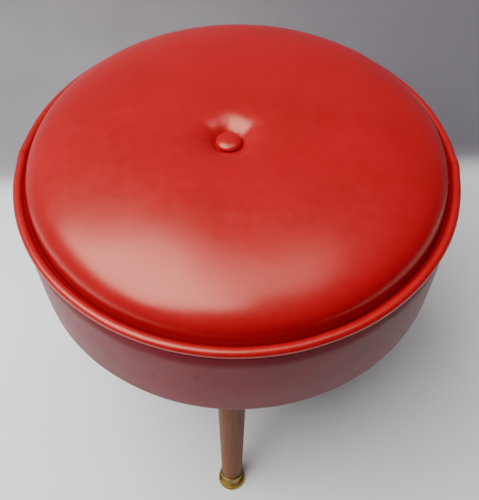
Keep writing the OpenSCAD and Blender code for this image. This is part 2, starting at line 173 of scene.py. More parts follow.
def newGroup(name, inputs, outputs):
    group = bpy.data.node_groups.new(name, "ShaderNodeTree")
    for label, value in inputs.items():
        kind = "Vector" if value is None else "Color" if isinstance(value, tuple) else "Float"
        socket = group.interface.new_socket(label, in_out="INPUT", socket_type="NodeSocket" + kind)
        if value is not None:
            socket.default_value = value
    for label, kind in outputs.items():
        group.interface.new_socket(label, in_out="OUTPUT", socket_type="NodeSocket" + kind)
    start = group.nodes.new("NodeGroupInput").outputs
    end = put(group, "NodeGroupOutput").inputs
    return group, start, end


surfaceOutputs = {"Colour": "Color", "Roughness": "Float", "Height": "Float"}


def roughBetween(tree, start, value, low=0.3, high=0.7):
    return put(tree, "ShaderNodeMapRange", None, {
        "Value": value, "From Min": low, "From Max": high,
        "To Min": start["Least Rough"], "To Max": start["Most Rough"]}).outputs[0]


def putOut(tree, end, colour, rough, height):
    for label, value in zip(surfaceOutputs, (colour, rough, height)):
        tree.links.new(value, end[label])
    return tree


# Smooth leathercloth: cloudy red, faint grain, rubbed and dull patches
def buildLeathercloth():
    tree, start, end = newGroup("leathercloth", {
        "Vector": None, "Deep": (0.5, 0.01, 0.01, 1.0), "Bright": (0.6, 0.02, 0.02, 1.0),
        "Rubbed": (0.62, 0.1, 0.08, 1.0), "Cloud Scale": 16.0, "Grain Scale": 900.0,
        "Least Rough": 0.28, "Most Rough": 0.42, "Rubbing": 0.3}, surfaceOutputs)
    broad = cloud(tree, start["Vector"], start["Cloud Scale"], 4.0)
    small = cloud(tree, start["Vector"], times(tree, start["Cloud Scale"], 7.3), 3.0, 0.65)
    tone = plus(tree, times(tree, broad, 0.7), times(tree, small, 0.3))
    colour = blendColour(tree, spread(tree, tone, 0.36, 0.62), start["Deep"], start["Bright"])
    patches = cloud(tree, start["Vector"], times(tree, start["Cloud Scale"], 3.1), 6.0, 0.7)
    rubs = times(tree, spread(tree, patches, 0.5, 0.8), start["Rubbing"])
    dull = plus(tree, spread(tree, small, 0.3, 0.7), times(tree, rubs, 0.1))
    cells = put(tree, "ShaderNodeTexVoronoi", {"feature": "SMOOTH_F1"},
                {"Vector": start["Vector"], "Scale": start["Grain Scale"], "Smoothness": 0.6})
    crease = cloud(tree, start["Vector"], times(tree, start["Grain Scale"], 0.33), 3.0)
    height = plus(tree, times(tree, cells.outputs["Distance"], 0.5), times(tree, crease, 0.5))
    return putOut(tree, end, blendColour(tree, rubs, colour, start["Rubbed"]),
                  roughBetween(tree, start, dull, 0.0, 1.0), height)


# One ragged, streaky mark at a given place, such as a speck of dirt or painted shade in a crease
def buildSpeckAndCreaseMark():
    tree, start, end = newGroup("speckAndCreaseShadeMark", {
        "Vector": None, "Place": None, "Size": 0.004, "Raggedness": 0.5}, {"Mask": "Float"})
    away = put(tree, "ShaderNodeVectorMath", {"operation": "DISTANCE"},
               [start["Vector"], start["Place"]]).outputs["Value"]
    ragged = times(tree, cloud(tree, start["Vector"], 420.0, 3.0, 0.7), start["Raggedness"])
    near = maths(tree, "SUBTRACT", maths(tree, "DIVIDE", away, start["Size"]), ragged)
    streaky = stretched(tree, start["Vector"], (1.0, 1.0, 2.6))
    streaks = spread(tree, cloud(tree, streaky, 330.0, 4.0, 0.65), 0.5, 0.64)
    tree.links.new(times(tree, spread(tree, near, 0.1, 0.85, 1.0, 0.0), streaks), end["Mask"])
    return tree


# Turned hardwood: grain runs along Z, with pores and darker streaks
def buildGrain():
    tree, start, end = newGroup("turnedGrain", {
        "Vector": None, "Dark": (0.1, 0.04, 0.02, 1.0), "Mid": (0.3, 0.13, 0.07, 1.0),
        "Light": (0.45, 0.22, 0.11, 1.0), "Grain Scale": 60.0, "Streaks": 0.6,
        "Least Rough": 0.3, "Most Rough": 0.5}, surfaceOutputs)
    along = stretched(tree, start["Vector"], (1.0, 1.0, 0.055))
    fine = stretched(tree, start["Vector"], (1.0, 1.0, 0.03))
    broad = cloud(tree, along, start["Grain Scale"], 4.0, 0.6)
    lines = cloud(tree, along, times(tree, start["Grain Scale"], 5.0), 3.0, 0.6)
    pores = spread(tree, cloud(tree, fine, times(tree, start["Grain Scale"], 26.0), 2.0), 0.58, 0.7)
    body = blendColour(tree, spread(tree, broad, 0.35, 0.65), start["Mid"], start["Light"])
    dark = times(tree, spread(tree, lines, 0.45, 0.7), start["Streaks"])
    body = blendColour(tree, dark, body, start["Dark"])
    return putOut(tree, end, blendColour(tree, times(tree, pores, 0.55), body, start["Dark"]),
                  roughBetween(tree, start, broad),
                  maths(tree, "SUBTRACT", times(tree, lines, 0.5), pores))


# Metal that has dulled with age, dark where hands don't reach
def buildAgedMetal():
    tree, start, end = newGroup("agedMetal", {
        "Vector": None, "Clean": (0.6, 0.5, 0.3, 1.0), "Dull": (0.2, 0.15, 0.06, 1.0),
        "Patch Scale": 130.0, "Age": 0.5, "Least Rough": 0.3, "Most Rough": 0.5}, surfaceOutputs)
    patches = cloud(tree, start["Vector"], start["Patch Scale"], 5.0, 0.65)
    specks = cloud(tree, start["Vector"], times(tree, start["Patch Scale"], 7.0), 2.0)
    edge = put(tree, "ShaderNodeNewGeometry").outputs["Pointiness"]
    hollow = spread(tree, edge, 0.42, 0.52, 1.0, 0.0)
    worn = plus(tree, spread(tree, patches, 0.38, 0.66), times(tree, hollow, 0.7))
    age = put(tree, "ShaderNodeClamp", None, [times(tree, worn, start["Age"])]).outputs[0]
    return putOut(tree, end, blendColour(tree, age, start["Clean"], start["Dull"]),
                  roughBetween(tree, start, age, 0.0, 1.0),
                  plus(tree, times(tree, patches, 0.6), times(tree, specks, 0.4)))


# Matted or cut fibres: flock, foam and hardboard
def buildFibres():
    tree, start, end = newGroup("mattedFibres", {
        "Vector": None, "Dark": (0.3, 0.28, 0.26, 1.0), "Light": (0.5, 0.47, 0.44, 1.0),
        "Clump Scale": 90.0, "Fibre Scale": 900.0, "Stretch": 1.0,
        "Least Rough": 0.8, "Most Rough": 1.0}, surfaceOutputs)
    scale = put(tree, "ShaderNodeCombineXYZ", None, [start["Stretch"], 1.0, 1.0]).outputs[0]
    vector = stretched(tree, start["Vector"], scale)
    clumps = cloud(tree, vector, start["Clump Scale"], 4.0, 0.6)
    threads = cloud(tree, vector, start["Fibre Scale"], 2.0, 0.7)
    tone = plus(tree, times(tree, clumps, 0.55), times(tree, threads, 0.45))
    share = spread(tree, tone, 0.36, 0.64)
    return putOut(tree, end, blendColour(tree, share, start["Dark"], start["Light"]),
                  roughBetween(tree, start, clumps), tone)


# Plain-woven cloth or twisted yarn, seen as crossing threads
def buildWeave():
    tree, start, end = newGroup("plainWeave", {
        "Vector": None, "Shade": (0.01, 0.01, 0.012, 1.0), "Thread": (0.05, 0.05, 0.055, 1.0),
        "Thread Scale": 700.0, "Slub": 0.3, "Least Rough": 0.8, "Most Rough": 0.95}, surfaceOutputs)
    parts = put(tree, "ShaderNodeSeparateXYZ", None, [start["Vector"]]).outputs
    pitch = times(tree, start["Thread Scale"], 6.283)
    warp, weft = (maths(tree, "SINE", times(tree, part, pitch)) for part in (parts[0], parts[1]))
    slubs = cloud(tree, start["Vector"], times(tree, start["Thread Scale"], 0.2), 3.0)
    tone = plus(tree, times(tree, times(tree, warp, weft), 0.35), times(tree, slubs, start["Slub"]))
    share = spread(tree, tone, -0.3, 0.6)
    return putOut(tree, end, blendColour(tree, share, start["Shade"], start["Thread"]),
                  roughBetween(tree, start, slubs), tone)


groups = {
    "leathercloth": buildLeathercloth(), "speckAndCreaseShadeMark": buildSpeckAndCreaseMark(), "turnedGrain": buildGrain(),
    "agedMetal": buildAgedMetal(), "mattedFibres": buildFibres(), "plainWeave": buildWeave(),
}


# A finish is a shared effect with its own values, the shader's own values and a bump
def newFinish(name, effect, look, shader, bump, place=None, turn=None, marks=(), film=None,
              underside=None):
    material = bpy.data.materials.new(name)
    material.use_nodes = True
    tree = material.node_tree
    principled = tree.nodes["Principled BSDF"]
    for key, value in shader.items():
        principled.inputs[key].default_value = value
    vector = put(tree, "ShaderNodeTexCoord").outputs["Object"]
    if place is not None:
        vector = put(tree, "ShaderNodeMapping", {"vector_type": "TEXTURE"},
                     {"Vector": vector, "Location": place, "Rotation": turn}).outputs[0]
    surface = put(tree, "ShaderNodeGroup", {"node_tree": groups[effect]}, {"Vector": vector, **look})
    colour, height = surface.outputs["Colour"], surface.outputs["Height"]
    if film:  # a dull film that stops short of the piping, and is left off at the marks, among them the band's painted crease shade
        rise = put(tree, "ShaderNodeSeparateXYZ", None, [vector]).outputs[2]
        dirt = times(tree, cloud(tree, vector, 60.0, 4.0), 0.006)
        film = spread(tree, plus(tree, rise, dirt), *film)
    for mark in marks:
        mask = put(tree, "ShaderNodeGroup", {"node_tree": groups["speckAndCreaseShadeMark"]}, {
            "Vector": vector, "Place": [v * mm for v in mark["at"]], "Size": mark["size"] * mm}).outputs[0]
        share = times(tree, mask, mark["strength"])
        colour = blendColour(tree, share, colour, mark["colour"])
        if film:
            film = times(tree, film, maths(tree, "SUBTRACT", 1.0, share))
        if mark["dent"]:
            height = maths(tree, "SUBTRACT", height, times(tree, mask, mark["dent"]))
    if film:
        tree.links.new(film, principled.inputs["Coat Weight"])
    rough = surface.outputs["Roughness"]
    if underside:  # never rubbed smooth from below
        normal = put(tree, "ShaderNodeNewGeometry").outputs["Normal"]
        facing = put(tree, "ShaderNodeSeparateXYZ", None, [normal]).outputs[2]
        rough = maths(tree, "MAXIMUM", rough, spread(tree, facing, 0.05, -0.3, 0.0, underside))
    tree.links.new(colour, principled.inputs["Base Color"])
    tree.links.new(rough, principled.inputs["Roughness"])
    relief = put(tree, "ShaderNodeBump", None, {"Strength": bump[0], "Distance": bump[1], "Height": height})
    tree.links.new(relief.outputs[0], principled.inputs["Normal"])
    return material


vinylLook = {
    "Deep": (0.36, 0.001, 0.005, 1), "Bright": (0.40, 0.0012, 0.007, 1), "Rubbed": (0.41, 0.003, 0.009, 1),
    "Cloud Scale": 13.0, "Grain Scale": 1100.0, "Least Rough": 0.28, "Most Rough": 0.32, "Rubbing": 0.1}
vinylShader = {"IOR": 1.5, "Specular IOR Level": 1.0, "Specular Tint": (1.0, 0.55, 0.42, 1)}
sideShader = {"IOR": 1.5, "Specular IOR Level": 0.04, "Coat IOR": 1.45, "Coat Roughness": 0.38}


# Marks on the vinyl: place, size, strength, colour and depth of each
def listMarks(rows):
    return [{"at": at, "size": size, "strength": strength, "colour": (*tint, 1), "dent": dent}
            for at, size, strength, tint, dent in rows]


seatSpecks = listMarks([
    ((5.0, -88.3, 383.2), 1.2, 0.5, (0.12, 0.005, 0.005), 0),
    ((119.0, -73.0, 376.6), 1.4, 0.35, (0.6, 0.2, 0.08), 0),
])
# painted shade: small creases in the band, each a slight dent with the shade in it painted dark
sideCreaseShades = listMarks([
    ((-101.4, -159.0, 308.0), 4.6, 0.85, (0.12, 0.002, 0.006), 1.0),
    ((-72.9, -173.9, 307.9), 4.0, 0.8, (0.12, 0.002, 0.006), 1.0),
    ((-55.4, -180.7, 294.4), 4.8, 0.85, (0.11, 0.002, 0.006), 1.0),
    ((-22.0, -187.4, 306.3), 5.0, 0.95, (0.09, 0.002, 0.006), 1.2),
    ((10.7, -188.8, 286.0), 4.8, 0.85, (0.11, 0.002, 0.006), 1.0),
    ((55.3, -180.7, 294.0), 4.2, 0.8, (0.11, 0.002, 0.006), 1.0),
    ((130.8, -137.0, 267.1), 4.2, 0.8, (0.12, 0.003, 0.006), 0.6),
])

finishes = {
    "vinyl": newFinish("seatVinyl", "leathercloth", vinylLook, vinylShader, (0.12, 0.0002),
                       marks=seatSpecks),
    "weltVinyl": newFinish("pipingVinyl", "leathercloth", {
        **vinylLook, "Cloud Scale": 22.0, "Least Rough": 0.28, "Most Rough": 0.36, "Rubbing": 0.25},
        vinylShader, (0.15, 0.0002), underside=0.95),
    # painted shade: the side band is the seat's vinyl painted darker, standing for the lower light on the
    # upright sides
    "sideVinylShaded": newFinish("sideVinylShaded", "leathercloth", {
        **vinylLook, "Deep": (0.165, 0.003, 0.012, 1), "Bright": (0.205, 0.005, 0.016, 1),
        "Rubbed": (0.23, 0.015, 0.03, 1), "Cloud Scale": 18.0, "Least Rough": 0.4, "Most Rough": 0.5,
        "Rubbing": 0.2}, sideShader, (0.2, 0.0003), film=(0.334, 0.324, 0.0, 0.42), marks=sideCreaseShades),
    "foam": newFinish("padFoam", "mattedFibres", {
        "Dark": (0.62, 0.52, 0.3, 1), "Light": (0.8, 0.72, 0.48, 1), "Clump Scale": 160.0,
        "Fibre Scale": 1300.0}, {"IOR": 1.4}, (0.6, 0.0006)),
    "flock": newFinish("drumFlock", "mattedFibres", {
        "Dark": (0.12, 0.11, 0.11, 1), "Light": (0.36, 0.33, 0.31, 1), "Clump Scale": 70.0, "Stretch": 3.0},
        {"IOR": 1.4}, (0.8, 0.001)),
    "twine": newFinish("waxedTwine", "plainWeave", {
        "Shade": (0.3, 0.24, 0.13, 1), "Thread": (0.62, 0.54, 0.36, 1), "Thread Scale": 420.0},
        {"IOR": 1.4}, (0.6, 0.0005)),
    "lining": newFinish("baseLining", "plainWeave", {"Thread Scale": 560.0}, {"IOR": 1.4}, (0.4, 0.0003)),
    "hardboard": newFinish("hoopHardboard", "mattedFibres", {
        "Dark": (0.1, 0.05, 0.025, 1), "Light": (0.24, 0.13, 0.065, 1), "Clump Scale": 120.0,
        "Least Rough": 0.5, "Most Rough": 0.75}, {"IOR": 1.45}, (0.25, 0.0003)),
    "board": newFinish("baseBoard", "turnedGrain", {
        "Dark": (0.26, 0.15, 0.07, 1), "Mid": (0.45, 0.3, 0.16, 1), "Light": (0.6, 0.43, 0.25, 1),
        "Grain Scale": 24.0, "Streaks": 0.4, "Least Rough": 0.6, "Most Rough": 0.8}, {"IOR": 1.45},
        (0.3, 0.0004), place=(0, 0, 0.25), turn=(0, math.radians(90), math.radians(8))),
    "brass": newFinish("footBrass", "agedMetal", {
        "Clean": (0.48, 0.36, 0.11, 1), "Dull": (0.18, 0.115, 0.035, 1), "Patch Scale": 170.0, "Age": 0.6,
        "Least Rough": 0.3, "Most Rough": 0.5}, {"Metallic": 1.0}, (0.12, 0.0003)),
    "plated": newFinish("zincPlate", "agedMetal", {
        "Clean": (0.62, 0.58, 0.47, 1), "Dull": (0.33, 0.28, 0.19, 1), "Patch Scale": 110.0, "Age": 0.7,
        "Least Rough": 0.3, "Most Rough": 0.5}, {"Metallic": 1.0}, (0.15, 0.0003)),
    "blued": newFinish("bluedTack", "agedMetal", {
        "Clean": (0.09, 0.1, 0.13, 1), "Dull": (0.05, 0.035, 0.03, 1), "Patch Scale": 400.0, "Age": 0.8,
        "Least Rough": 0.35, "Most Rough": 0.6}, {"Metallic": 0.9}, (0.2, 0.0002)),
}

legs = {"splay": 12.0, "topRadius": 110.8, "boardHeight": 251.34,
        "turns": {"front": 0, "right": 120, "left": 240}}


# The grain of each leg runs along its own axis
def legFinish(name, turn):
    around = math.radians(turn)
    top = (legs["topRadius"] * math.sin(around) * mm, -legs["topRadius"] * math.cos(around) * mm,
           legs["boardHeight"] * mm)
    return newFinish("legWood." + name, "turnedGrain", {
        "Dark": (0.08, 0.024, 0.007, 1), "Mid": (0.175, 0.054, 0.016, 1), "Light": (0.24, 0.08, 0.024, 1),
        "Grain Scale": 75.0, "Streaks": 0.45, "Least Rough": 0.42, "Most Rough": 0.55},
        {"IOR": 1.45, "Specular IOR Level": 0.22, "Coat Weight": 0.04, "Coat Roughness": 0.3},
        (0.15, 0.0003), place=top, turn=(math.radians(-legs["splay"]), 0, around))


cadFinishes = {
    "button_loop": "plated", "tuft_twine": "twine", "twine_washer": "plated", "side_hoop": "hardboard",
    "hoop_tacks": "blued", "base_board": "board", "hem_tacks": "blued", "cloth_tacks": "blued",
    "plate_front": "plated", "plate_right": "plated", "plate_left": "plated", "plate_screws": "plated",
    "leg_bolt_front": "plated", "leg_bolt_right": "plated", "leg_bolt_left": "plated",
    "foot_front": "brass", "foot_right": "brass", "foot_left": "brass", "foot_pins": "brass",
}


def dressNode(name, material):
    for place in nodes[name].material_slots:
        place.material = material


# Mesh helpers

def bakePiece(name, bm, material, sharp=48, sheet=False):
    if sheet:
        bmesh.ops.reverse_faces(bm, faces=bm.faces)  # good side up
    else:
        bmesh.ops.recalc_face_normals(bm, faces=bm.faces)
    for edge in bm.edges:
        if len(edge.link_faces) == 2 and edge.calc_face_angle(0) > math.radians(sharp):
            edge.smooth = False
    for face in bm.faces:
        face.smooth = True
    mesh = bpy.data.meshes.new(name)
    bm.to_mesh(mesh)
    bm.free()
    mesh.materials.append(material)
    piece = bpy.data.objects.new(name, mesh)
    bpy.context.scene.collection.objects.link(piece)
    return piece


# Rows of points, in millimetres, joined into a skin
def skinRows(bm, rows, ringed=True, looped=True, capped=False):
    grid = [[bm.verts.new([c * mm for c in point]) for point in row] for row in rows]
    count, wide = len(grid), len(grid[0])
    for i in range(count if looped else count - 1):
        for k in range(wide if ringed else wide - 1):
            a, b = grid[i], grid[(i + 1) % count]
            bm.faces.new((a[k], a[(k + 1) % wide], b[(k + 1) % wide], b[k]))
    if capped:
        bm.faces.new(grid[0])
        bm.faces.new(list(reversed(grid[-1])))
    return grid


def lathePoints(profile, sides, centre=(0, 0)):
    turns = [2 * math.pi * k / sides for k in range(sides)]
    return [[(centre[0] + r * math.cos(t), centre[1] + r * math.sin(t), z) for t in turns]
            for r, z in profile]


def arcPoints(middle, radius, first, last, steps):
    angles = [math.radians(first + (last - first) * i / steps) for i in range(steps + 1)]
    return [(middle[0] + radius * math.cos(a), middle[1] + radius * math.sin(a)) for a in angles]


# A path given a thickness on both sides, as a closed outline
def thicken(path, high, low):
    points = np.array(path, float)
    along = np.gradient(points, axis=0)
    along /= np.linalg.norm(along, axis=1)[:, None]
    beside = np.column_stack([-along[:, 1], along[:, 0]])
    return np.vstack([points + high * beside, (points + low * beside)[::-1]])


def within(share):
    return min(max(share, 0), 1)


def wobble(x, y, z, size):
    return noise.noise(Vector((x / size, y / size, z / size)))


# Cushion: cover and pad share one crown, drawn down round the button

seat = {
    "rim": 178.7,          # radius of the cushion
    "rimHeight": 341.54,
    "crown": 44.0,
    "crownPower": 2.6,
    "dropPower": 3.3,
    "tuft": (-6.0, -10.0),
    "tuftDepth": 11.0,
    "tuftSpread": 9.0,
    "tuftPower": 1.0,
    "tuftSeat": 11.4,      # flat ring under the button
    "tuftEdge": 34.8,      # the rings are centred on the button up to here
    "steadyShare": 0.85,   # and on the stool from this share of the radius
    "ringsUnder": [5.0, 8.0],
    "ringStep": 1.2,
    "ringCount": 36,
    "ringsOut": [60.0, 68.0, 76.0, 84.0],
    "twineHole": 5.0,
    "tucked": 331.54,      # lower end of the sewn edge
    "sheet": 1.0,
    "padGap": 1.3,
    "padFoot": 329.04,
    "sides": 180,
    "unevenness": 0.35,
    "pucker": 0.55,
    "puckers": 7,
}


def crownHeight(r, depth):
    wide, high = seat["rim"] - depth, seat["crown"] - depth
    rise = high * max(1 - (r / wide) ** seat["crownPower"], 0) ** (1 / seat["dropPower"])
    reach = max(r - seat["tuftSeat"], 0) / seat["tuftSpread"]
    return seat["rimHeight"] + rise - seat["tuftDepth"] * math.exp(-reach ** seat["tuftPower"])


def crownRows(depth):
    wide = seat["rim"] - depth
    near = [seat["tuftSeat"] + seat["ringStep"] * i for i in range(seat["ringCount"])]
    near = seat["ringsUnder"] + near + seat["ringsOut"]
    far = [wide * math.sin(math.radians(90 * (i / 40) ** 0.85)) ** (2 / seat["crownPower"])
           for i in range(1, 41)]
    radii = near + [r for r in far if r > near[-1] + 1.5]
    rows = []
    for r in radii:
        level = max(r, seat["tuftSeat"])
        out = (level - seat["tuftEdge"]) / (wide * seat["steadyShare"] - seat["tuftEdge"])
        share = (1 + math.cos(math.pi * within(out))) / 2
        base = crownHeight(level, depth)
        fade = min((level - seat["tuftSeat"]) / 10, 1) * min((wide - level) / 8, 1)
        fold = math.exp(-((level - 20) / 8) ** 2) * min((level - seat["tuftSeat"]) / 4, 1)
        row = []
        for k in range(seat["sides"]):
            t = 2 * math.pi * k / seat["sides"]
            x = seat["tuft"][0] * share + r * math.cos(t)
            y = seat["tuft"][1] * share + r * math.sin(t)
            lift = seat["unevenness"] * fade * (wobble(x, y, 0, 55) + 0.4 * wobble(x, y, 9, 19))
            pleat = math.cos(seat["puckers"] * t + 1.3 + 0.8 * math.sin(2 * t + 0.4))
            row.append((x, y, base + lift - seat["pucker"] * fold * (0.5 + 0.5 * pleat)))
        rows.append(row)
    return rows


def makeCover():
    outside = crownRows(0)
    inside = crownRows(seat["sheet"])
    edge = lathePoints([(seat["rim"], seat["rimHeight"] - 5), (seat["rim"], seat["tucked"]),
                        (seat["rim"] - seat["sheet"], seat["tucked"])], seat["sides"])
    bm = bmesh.new()
    skinRows(bm, outside + edge + inside[::-1])
    return bakePiece("coverTop", bm, finishes["vinyl"])


def makePad():
    rows = crownRows(seat["padGap"])
    wide = seat["rim"] - seat["padGap"]
    low = seat["padFoot"]
    foot = lathePoints([(wide, low + 3), (wide - 1, low + 0.8), (wide - 3, low)], seat["sides"])
    hole = lathePoints([(20, low), (seat["twineHole"], low)], seat["sides"], seat["tuft"])
    bm = bmesh.new()
    skinRows(bm, rows + foot + hole)
    return bakePiece("foamPad", bm, finishes["foam"])


# Covered button, its edge pleated over the metal back

button = {"radius": 10.8, "height": 6.0, "edgeShare": 0.25, "power": 2.4, "seatHeight": 374.53,
          "backRadius": 7.12, "backDepth": 1.3, "sides": 96, "pleats": 15, "pleatDepth": 0.22}


def makeButton():
    edge = button["height"] * button["edgeShare"]
    radius, back, deep = button["radius"], button["backRadius"], button["backDepth"]
    profile = [(0.4, deep), (back, deep), (back, 0), (radius - edge, 0),
               (radius - edge * 0.45, edge * 0.25)]
    for i in range(15):
        a = math.radians(88 * i / 14)
        profile.append((radius * math.cos(a) ** (2 / button["power"]),
                        edge + (button["height"] - edge) * math.sin(a) ** (2 / button["power"])))
    rows = []
    for i, (r, z) in enumerate(profile):
        tucked = 1 if 3 <= i <= 5 else 0.35 if i == 6 else 0
        row = []
        for k in range(button["sides"]):
            t = 2 * math.pi * k / button["sides"]
            pleat = 0.5 + 0.5 * math.cos(button["pleats"] * t + math.sin(3 * t))
            out = r - tucked * button["pleatDepth"] * pleat
            row.append((seat["tuft"][0] + out * math.cos(t), seat["tuft"][1] + out * math.sin(t),
                        button["seatHeight"] + z))
        rows.append(row)
    bm = bmesh.new()
    skinRows(bm, rows, looped=False, capped=True)
    return bakePiece("button", bm, finishes["vinyl"])


# Piping: a strip folded round a cord, its two edges sewn in as a flange

piping = {"middle": 186.0, "height": 345.54, "radius": 4.0, "sheet": 1.0, "flange": (179.3, 180.3),
          "flangeFoot": 331.54, "steps": 150, "endGap": 0.15, "ear": 1.0, "earSpread": 9.0}


def pipingOutline():
    mid = (piping["middle"], piping["height"])
    r = piping["radius"] - piping["sheet"] / 2
    inner, outer = piping["flange"]
    path = ([(inner, z) for z in (piping["flangeFoot"], 335, 339, 341.4)]
            + [(inner + 0.7, 343.0), (inner + 1.9, 344.2)] + arcPoints(mid, r, 172, -122, 34)
            + [(outer + 1.9, 341.9), (outer + 0.5, 341.3)]
            + [(outer, z) for z in (339.8, 335, piping["flangeFoot"])])
    return thicken(path, piping["sheet"] / 2, -piping["sheet"] / 2)


def sweepHalf(bm, outline, start, steps, endAngle, shape):
    rows = []
    for i in range(steps + 1):
        t = start + endAngle + (math.pi - 2 * endAngle) * i / steps
        rows.append([shape(t, r, z) for r, z in outline])
    skinRows(bm, rows, looped=False, capped=True)


# 1 at the side seams, falling off along the rim
def seamNear(t, width, radius=186.0):
    away = min(abs(math.remainder(t, 2 * math.pi)), abs(math.remainder(t - math.pi, 2 * math.pi))) * radius
    return math.exp(-(away / width) ** 2)


def pipingShape(t, r, z):
    ear = piping["ear"] * seamNear(t, piping["earSpread"])
    onBead = within((z - 341.0) / 2)
    out = onBead * (ear + 0.35 * wobble(math.cos(t) * 185, math.sin(t) * 185, 5, 40))
    up = onBead * 0.25 * wobble(math.cos(t) * 185, math.sin(t) * 185, 50, 45)
    return ((r + out) * math.cos(t), (r + out) * math.sin(t), z + up)


def makePiping(name, start):
    bm = bmesh.new()
    sweepHalf(bm, pipingOutline(), start, piping["steps"], piping["endGap"] / piping["middle"], pipingShape)
    return bakePiece(name, bm, finishes["weltVinyl"])


# The cord in the piping, three strands twisted together
cord = {"radius": 2.45, "groove": 0.2, "strands": 3, "twists": 60, "steps": 720, "sides": 18}


def makePipingCord():
    rows = []
    for i in range(cord["steps"]):
        t = 2 * math.pi * i / cord["steps"]
        row = []
        for k in range(cord["sides"]):
            a = 2 * math.pi * k / cord["sides"]
            r = cord["radius"] + cord["groove"] * math.cos(cord["strands"] * (a + cord["twists"] * t))
            out = piping["middle"] + r * math.cos(a)
            row.append((out * math.cos(t), out * math.sin(t), piping["height"] + r * math.sin(a)))
        rows.append(row)
    bm = bmesh.new()
    skinRows(bm, rows)
    return bakePiece("pipingCord", bm, finishes["twine"])


# Side band, sewn in above, turned under below, with a fold at each side seam

band = {"top": 186.9, "flare": 2.0, "foldHeight": 340.94, "bend": 1.5, "shoulder": 3.5, "edge": 5.5,
        "hemHeight": 250.74, "hemIn": 168.8, "tuck": 181.4, "tuckFoot": 331.54, "sheet": 1.0, "steps": 150,
        "endGap": 0.15, "wave": 0.7, "valley": 0.5, "valleyWidth": 2.2, "gathers": 96, "gatherDepth": 0.22,
        "tab": 10.0, "tabThick": 0.8, "tabInset": 0.55, "tabLap": 0.2}
band["sideTop"] = band["foldHeight"] - band["shoulder"]
band["sideFoot"] = band["hemHeight"] + band["edge"]


def sideLine(steps):
    return [(band["top"] + band["flare"] * (1 - (1 - i / steps) ** 2),
             band["sideTop"] + (band["sideFoot"] - band["sideTop"]) * i / steps) for i in range(steps + 1)]


def bandPath():
    foot = (band["top"] + band["flare"] - band["edge"], band["sideFoot"])
    return ([(band["tuck"], z) for z in (band["tuckFoot"], 335)]
            + arcPoints((band["tuck"] + band["bend"], band["foldHeight"] - band["bend"]), band["bend"],
                        180, 90, 5)
            + arcPoints((band["top"] - band["shoulder"], band["sideTop"]), band["shoulder"], 90, 0, 8)
            + sideLine(22)[1:-1] + arcPoints(foot, band["edge"], 0, -90, 9)
            + [(184, band["hemHeight"]), (179, band["hemHeight"]), (band["hemIn"], band["hemHeight"])])


# How far the band stands out of its true form; the padding under it follows
def bandSwell(t, z):
    onSide = within((band["sideTop"] - z) / 18) * within((z - band["hemHeight"]) / 10)
    x, y = math.cos(t) * 190, math.sin(t) * 190
    wave = band["wave"] * (0.6 * wobble(x, y, z, 62) + 0.4 * wobble(x, y, z + 300, 24))
    return onSide * wave


def bandShape(t, r, z):
    onSide = within((band["sideTop"] + 1 - z) / 3) * within((z - band["hemHeight"] - 0.6) / 4)
    valley = onSide * band["valley"] * seamNear(t, band["valleyWidth"], 190)
    under = within((r - 180) / 5) * within((255 - z) / 4)
    gather = band["gatherDepth"] * under * math.sin(band["gathers"] * t + 2 * math.sin(5 * t))
    out = bandSwell(t, z) - valley
    return ((r + out) * math.cos(t), (r + out) * math.sin(t), z - max(gather, 0))


# The band's end, turned back inside at the side seam
def addTab(bm, edge, sense):
    outside, lap = band["tabInset"], band["tabLap"]
    inside = outside + band["tabThick"]
    rows = []
    for r, z in sideLine(14):
        plan = [(0, r + lap), (0, r - inside)]
        plan += [(band["tab"] * i / 8, r - inside) for i in range(1, 9)]
        plan += [(band["tab"] * i / 8, r - outside) for i in range(8, 1, -1)]
        plan += [(1.2, r - outside), (1.0, r + lap)]
        rows.append([bandShape(edge + sense * along / r, reach, z) for along, reach in plan])
    skinRows(bm, rows, looped=False, capped=True)


def makeBand(name, start):
    bm = bmesh.new()
    outline = thicken(bandPath(), band["sheet"] / 2, -band["sheet"] / 2)
    gap = band["endGap"] / band["top"]
    sweepHalf(bm, outline, start, band["steps"], gap, bandShape)
    addTab(bm, start + gap, 1)
    addTab(bm, start + math.pi - gap, -1)
    return bakePiece(name, bm, finishes["sideVinylShaded"])


# Padding under the band, with room at the seams for the turned ends
padding = {"inner": 184.7, "foot": 251.44, "behind": 0.62, "least": 0.3, "reach": 187, "tabRoom": 1.1,
           "tabEnd": 14, "seamRoom": 0.5, "sides": 240}


def makeSidePad():
    inner, low = padding["inner"], padding["foot"]
    foot = (band["top"] + band["flare"] - band["edge"], band["sideFoot"])
    line = sideLine(20)[:-1] + arcPoints(foot, band["edge"], 0, -90, 6)
    outer = thicken(line, 0, -padding["behind"])[len(line):][::-1]
    rows = []
    for k in range(padding["sides"]):
        t = 2 * math.pi * k / padding["sides"]
        away = abs(math.remainder(t, math.pi)) * padding["reach"]
        relief = (padding["tabRoom"] * within((padding["tabEnd"] - away) / 3.5)
                  + padding["seamRoom"] * seamNear(t, 3.0, padding["reach"]))
        row = [(inner, low), (inner, band["sideTop"])]
        for r, z in outer:
            r = max(r + bandSwell(t, z) - relief, inner + padding["least"])
            row.append((r, max(z, low)))
        rows.append([(r * math.cos(t), r * math.sin(t), z) for r, z in row])
    bm = bmesh.new()
    skinRows(bm, rows)
    return bakePiece("sidePad", bm, finishes["foam"])


# Filling of the drum, packed round the twine's hole
filling = {"radius": 181.9, "foot": 266.4, "top": 328.84, "hole": 4.1, "round": 5.0, "lumps": 0.9}


